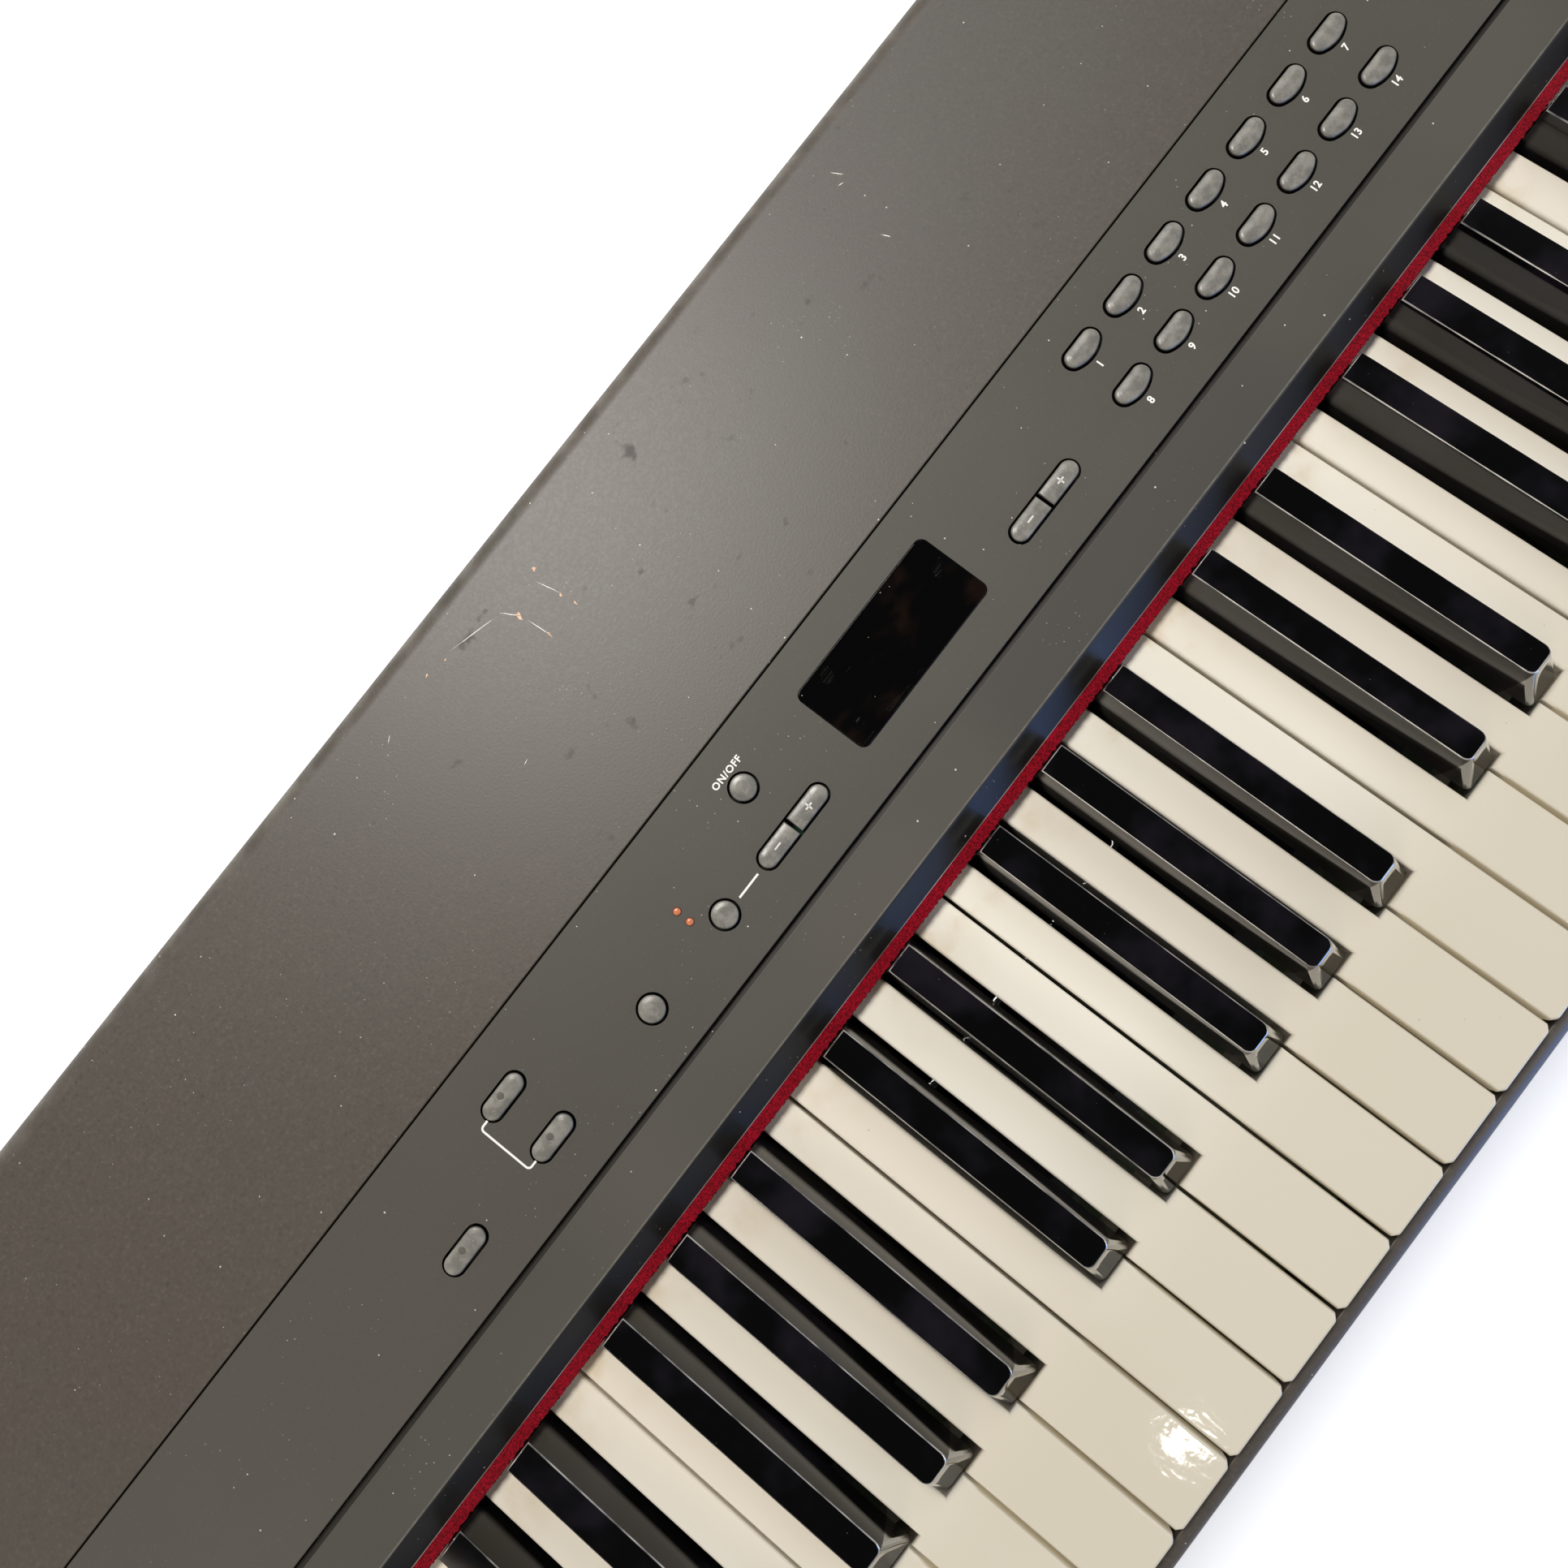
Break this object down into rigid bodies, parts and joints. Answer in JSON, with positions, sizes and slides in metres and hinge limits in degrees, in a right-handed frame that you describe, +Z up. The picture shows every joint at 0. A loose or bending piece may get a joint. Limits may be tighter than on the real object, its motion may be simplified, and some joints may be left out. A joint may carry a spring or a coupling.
{
  "type": "stage piano",
  "caption": "Stage piano with a full weighted hammer-action keyboard, a sloping control panel with buttons, display and slider, moulded end blocks and a folded steel rear cover.",
  "frame": {"origin": "under the middle of the case, on the plane of the rubber feet", "axes": "+X the player's right, towards the high notes; +Y away from the player, towards the rear sockets; +Z up"},
  "size_m": [1.341, 0.321, 0.1337],
  "materials": {
    "cover_paint": "satin, worn",
    "case_plastic": "fine satin",
    "fascia_black": "satin",
    "red_felt": "felt",
    "ivory": "gloss",
    "ebony": "gloss",
    "button_grey": "satin, worn",
    "smoked_window": "gloss",
    "amber_lens": "gloss",
    "frame_steel": "zinc plated",
    "screw_steel": "black zinc",
    "hammer_iron": "as cast",
    "action_felt": "felt",
    "circuit_green": "solder mask",
    "contact_rubber": "matte",
    "guide_plastic": "natural",
    "black_board": "black-faced particle board",
    "foot_rubber": "matte",
    "socket_black": "matte"
  },
  "bodies": {
    "root": {"top_cover": "cover_paint", "key_slip": "cover_paint", "rear_panel": "cover_paint", "control_panel": "case_plastic", "left_end_block": "case_plastic", "right_end_block": "case_plastic", "front_fascia": "fascia_black", "felt_strip": "red_felt", "display_window": "smoked_window", "indicator_lenses": "amber_lens", "key_chassis": "frame_steel", "action_axles": "frame_steel", "case_screws": "screw_steel", "action_felts": "action_felt", "circuit_boards": "circuit_green", "main_circuit_board": "circuit_green", "key_contacts": "contact_rubber", "key_guides": "guide_plastic", "bottom_board": "black_board", "rubber_feet": "foot_rubber", "rear_sockets": "socket_black"},
    "keys_c": {"keys_c": "ivory"},
    "keys_c_sharp": {"keys_c_sharp": "ebony"},
    "keys_d": {"keys_d": "ivory"},
    "keys_d_sharp": {"keys_d_sharp": "ebony"},
    "keys_e": {"keys_e": "ivory"},
    "keys_f": {"keys_f": "ivory"},
    "keys_f_sharp": {"keys_f_sharp": "ebony"},
    "keys_g": {"keys_g": "ivory"},
    "keys_g_sharp": {"keys_g_sharp": "ebony"},
    "keys_a": {"keys_a": "ivory"},
    "keys_a_sharp": {"keys_a_sharp": "ebony"},
    "keys_b": {"keys_b": "ivory"},
    "hammers_c": {"hammers_c": "hammer_iron"},
    "hammers_c_sharp": {"hammers_c_sharp": "hammer_iron"},
    "hammers_d": {"hammers_d": "hammer_iron"},
    "hammers_d_sharp": {"hammers_d_sharp": "hammer_iron"},
    "hammers_e": {"hammers_e": "hammer_iron"},
    "hammers_f": {"hammers_f": "hammer_iron"},
    "hammers_f_sharp": {"hammers_f_sharp": "hammer_iron"},
    "hammers_g": {"hammers_g": "hammer_iron"},
    "hammers_g_sharp": {"hammers_g_sharp": "hammer_iron"},
    "hammers_a": {"hammers_a": "hammer_iron"},
    "hammers_a_sharp": {"hammers_a_sharp": "hammer_iron"},
    "hammers_b": {"hammers_b": "hammer_iron"},
    "demo": {"demo": "button_grey"},
    "function": {"function": "button_grey"},
    "click": {"click": "button_grey"},
    "transpose": {"transpose": "button_grey"},
    "master": {"master": "button_grey"},
    "master_edit": {"master_edit": "button_grey"},
    "tempo_minus": {"tempo_minus": "button_grey"},
    "tempo_plus": {"tempo_plus": "button_grey"},
    "no": {"no": "button_grey"},
    "yes": {"yes": "button_grey"},
    "voice_buttons_rear_row": {"voice_buttons_rear_row": "button_grey"},
    "voice_buttons_front_row": {"voice_buttons_front_row": "button_grey"},
    "effect_buttons": {"effect_buttons": "button_grey"},
    "volume_slider": {"volume_slider": "button_grey"},
    "power_button": {"power_button": "button_grey"}
  },
  "joints": [
    {"name": "key_c_hinge", "type": "hinge", "parent": "root", "child": "keys_c", "pos_m": [0, 0.0675, 0.1045], "axis": [1, 0, 0], "range_deg": [0, 2.58]},
    {"name": "key_c_sharp_hinge", "type": "hinge", "parent": "root", "child": "keys_c_sharp", "pos_m": [0, 0.0675, 0.1045], "axis": [1, 0, 0], "range_deg": [0, 2.58]},
    {"name": "key_d_hinge", "type": "hinge", "parent": "root", "child": "keys_d", "pos_m": [0, 0.0675, 0.1045], "axis": [1, 0, 0], "range_deg": [0, 2.58]},
    {"name": "key_d_sharp_hinge", "type": "hinge", "parent": "root", "child": "keys_d_sharp", "pos_m": [0, 0.0675, 0.1045], "axis": [1, 0, 0], "range_deg": [0, 2.58]},
    {"name": "key_e_hinge", "type": "hinge", "parent": "root", "child": "keys_e", "pos_m": [0, 0.0675, 0.1045], "axis": [1, 0, 0], "range_deg": [0, 2.58]},
    {"name": "key_f_hinge", "type": "hinge", "parent": "root", "child": "keys_f", "pos_m": [0, 0.0675, 0.1045], "axis": [1, 0, 0], "range_deg": [0, 2.58]},
    {"name": "key_f_sharp_hinge", "type": "hinge", "parent": "root", "child": "keys_f_sharp", "pos_m": [0, 0.0675, 0.1045], "axis": [1, 0, 0], "range_deg": [0, 2.58]},
    {"name": "key_g_hinge", "type": "hinge", "parent": "root", "child": "keys_g", "pos_m": [0, 0.0675, 0.1045], "axis": [1, 0, 0], "range_deg": [0, 2.58]},
    {"name": "key_g_sharp_hinge", "type": "hinge", "parent": "root", "child": "keys_g_sharp", "pos_m": [0, 0.0675, 0.1045], "axis": [1, 0, 0], "range_deg": [0, 2.58]},
    {"name": "key_a_hinge", "type": "hinge", "parent": "root", "child": "keys_a", "pos_m": [0, 0.0675, 0.1045], "axis": [1, 0, 0], "range_deg": [0, 2.58]},
    {"name": "key_a_sharp_hinge", "type": "hinge", "parent": "root", "child": "keys_a_sharp", "pos_m": [0, 0.0675, 0.1045], "axis": [1, 0, 0], "range_deg": [0, 2.58]},
    {"name": "key_b_hinge", "type": "hinge", "parent": "root", "child": "keys_b", "pos_m": [0, 0.0675, 0.1045], "axis": [1, 0, 0], "range_deg": [0, 2.58]},
    {"name": "hammer_c_hinge", "type": "hinge", "parent": "root", "child": "hammers_c", "pos_m": [0, -0.0425, 0.0655], "axis": [1, 0, 0], "range_deg": [0, 10.6]},
    {"name": "hammer_c_sharp_hinge", "type": "hinge", "parent": "root", "child": "hammers_c_sharp", "pos_m": [0, -0.0425, 0.0655], "axis": [1, 0, 0], "range_deg": [0, 10.6]},
    {"name": "hammer_d_hinge", "type": "hinge", "parent": "root", "child": "hammers_d", "pos_m": [0, -0.0425, 0.0655], "axis": [1, 0, 0], "range_deg": [0, 10.6]},
    {"name": "hammer_d_sharp_hinge", "type": "hinge", "parent": "root", "child": "hammers_d_sharp", "pos_m": [0, -0.0425, 0.0655], "axis": [1, 0, 0], "range_deg": [0, 10.6]},
    {"name": "hammer_e_hinge", "type": "hinge", "parent": "root", "child": "hammers_e", "pos_m": [0, -0.0425, 0.0655], "axis": [1, 0, 0], "range_deg": [0, 10.6]},
    {"name": "hammer_f_hinge", "type": "hinge", "parent": "root", "child": "hammers_f", "pos_m": [0, -0.0425, 0.0655], "axis": [1, 0, 0], "range_deg": [0, 10.6]},
    {"name": "hammer_f_sharp_hinge", "type": "hinge", "parent": "root", "child": "hammers_f_sharp", "pos_m": [0, -0.0425, 0.0655], "axis": [1, 0, 0], "range_deg": [0, 10.6]},
    {"name": "hammer_g_hinge", "type": "hinge", "parent": "root", "child": "hammers_g", "pos_m": [0, -0.0425, 0.0655], "axis": [1, 0, 0], "range_deg": [0, 10.6]},
    {"name": "hammer_g_sharp_hinge", "type": "hinge", "parent": "root", "child": "hammers_g_sharp", "pos_m": [0, -0.0425, 0.0655], "axis": [1, 0, 0], "range_deg": [0, 10.6]},
    {"name": "hammer_a_hinge", "type": "hinge", "parent": "root", "child": "hammers_a", "pos_m": [0, -0.0425, 0.0655], "axis": [1, 0, 0], "range_deg": [0, 10.6]},
    {"name": "hammer_a_sharp_hinge", "type": "hinge", "parent": "root", "child": "hammers_a_sharp", "pos_m": [0, -0.0425, 0.0655], "axis": [1, 0, 0], "range_deg": [0, 10.6]},
    {"name": "hammer_b_hinge", "type": "hinge", "parent": "root", "child": "hammers_b", "pos_m": [0, -0.0425, 0.0655], "axis": [1, 0, 0], "range_deg": [0, 10.6]},
    {"name": "demo_press", "type": "slide", "parent": "root", "child": "demo", "axis": [0, 0.0645, -0.9979], "range_m": [0, 0.001], "stiffness_N_per_m": 400, "springref_m": -0.0015},
    {"name": "function_press", "type": "slide", "parent": "root", "child": "function", "axis": [0, 0.0645, -0.9979], "range_m": [0, 0.001], "stiffness_N_per_m": 400, "springref_m": -0.0015},
    {"name": "click_press", "type": "slide", "parent": "root", "child": "click", "axis": [0, 0.0645, -0.9979], "range_m": [0, 0.001], "stiffness_N_per_m": 400, "springref_m": -0.0015},
    {"name": "transpose_press", "type": "slide", "parent": "root", "child": "transpose", "axis": [0, 0.0645, -0.9979], "range_m": [0, 0.001], "stiffness_N_per_m": 400, "springref_m": -0.0015},
    {"name": "master_press", "type": "slide", "parent": "root", "child": "master", "axis": [0, 0.0645, -0.9979], "range_m": [0, 0.001], "stiffness_N_per_m": 400, "springref_m": -0.0015},
    {"name": "master_edit_press", "type": "slide", "parent": "root", "child": "master_edit", "axis": [0, 0.0645, -0.9979], "range_m": [0, 0.001], "stiffness_N_per_m": 400, "springref_m": -0.0015},
    {"name": "tempo_minus_press", "type": "slide", "parent": "root", "child": "tempo_minus", "axis": [0, 0.0645, -0.9979], "range_m": [0, 0.001], "stiffness_N_per_m": 400, "springref_m": -0.0015},
    {"name": "tempo_plus_press", "type": "slide", "parent": "root", "child": "tempo_plus", "axis": [0, 0.0645, -0.9979], "range_m": [0, 0.001], "stiffness_N_per_m": 400, "springref_m": -0.0015},
    {"name": "no_press", "type": "slide", "parent": "root", "child": "no", "axis": [0, 0.0645, -0.9979], "range_m": [0, 0.001], "stiffness_N_per_m": 400, "springref_m": -0.0015},
    {"name": "yes_press", "type": "slide", "parent": "root", "child": "yes", "axis": [0, 0.0645, -0.9979], "range_m": [0, 0.001], "stiffness_N_per_m": 400, "springref_m": -0.0015},
    {"name": "voice_buttons_rear_row_press", "type": "slide", "parent": "root", "child": "voice_buttons_rear_row", "axis": [0, 0.0645, -0.9979], "range_m": [0, 0.001], "stiffness_N_per_m": 400, "springref_m": -0.0015},
    {"name": "voice_buttons_front_row_press", "type": "slide", "parent": "root", "child": "voice_buttons_front_row", "axis": [0, 0.0645, -0.9979], "range_m": [0, 0.001], "stiffness_N_per_m": 400, "springref_m": -0.0015},
    {"name": "effect_buttons_press", "type": "slide", "parent": "root", "child": "effect_buttons", "axis": [0, 0.0645, -0.9979], "range_m": [0, 0.001], "stiffness_N_per_m": 400, "springref_m": -0.0015},
    {"name": "volume_slide", "type": "slide", "parent": "root", "child": "volume_slider", "axis": [1, 0, 0], "range_m": [-0.015, 0.015]},
    {"name": "power_press", "type": "slide", "parent": "root", "child": "power_button", "axis": [0, -1, 0], "range_m": [0, 0.003], "stiffness_N_per_m": 300, "springref_m": -0.003}
  ],
  "couplings": [
    {"joint": "hammer_c_hinge", "follows": "key_c_hinge", "ratio": 4.1},
    {"joint": "hammer_c_sharp_hinge", "follows": "key_c_sharp_hinge", "ratio": 4.1},
    {"joint": "hammer_d_hinge", "follows": "key_d_hinge", "ratio": 4.1},
    {"joint": "hammer_d_sharp_hinge", "follows": "key_d_sharp_hinge", "ratio": 4.1},
    {"joint": "hammer_e_hinge", "follows": "key_e_hinge", "ratio": 4.1},
    {"joint": "hammer_f_hinge", "follows": "key_f_hinge", "ratio": 4.1},
    {"joint": "hammer_f_sharp_hinge", "follows": "key_f_sharp_hinge", "ratio": 4.1},
    {"joint": "hammer_g_hinge", "follows": "key_g_hinge", "ratio": 4.1},
    {"joint": "hammer_g_sharp_hinge", "follows": "key_g_sharp_hinge", "ratio": 4.1},
    {"joint": "hammer_a_hinge", "follows": "key_a_hinge", "ratio": 4.1},
    {"joint": "hammer_a_sharp_hinge", "follows": "key_a_sharp_hinge", "ratio": 4.1},
    {"joint": "hammer_b_hinge", "follows": "key_b_hinge", "ratio": 4.1}
  ]
}
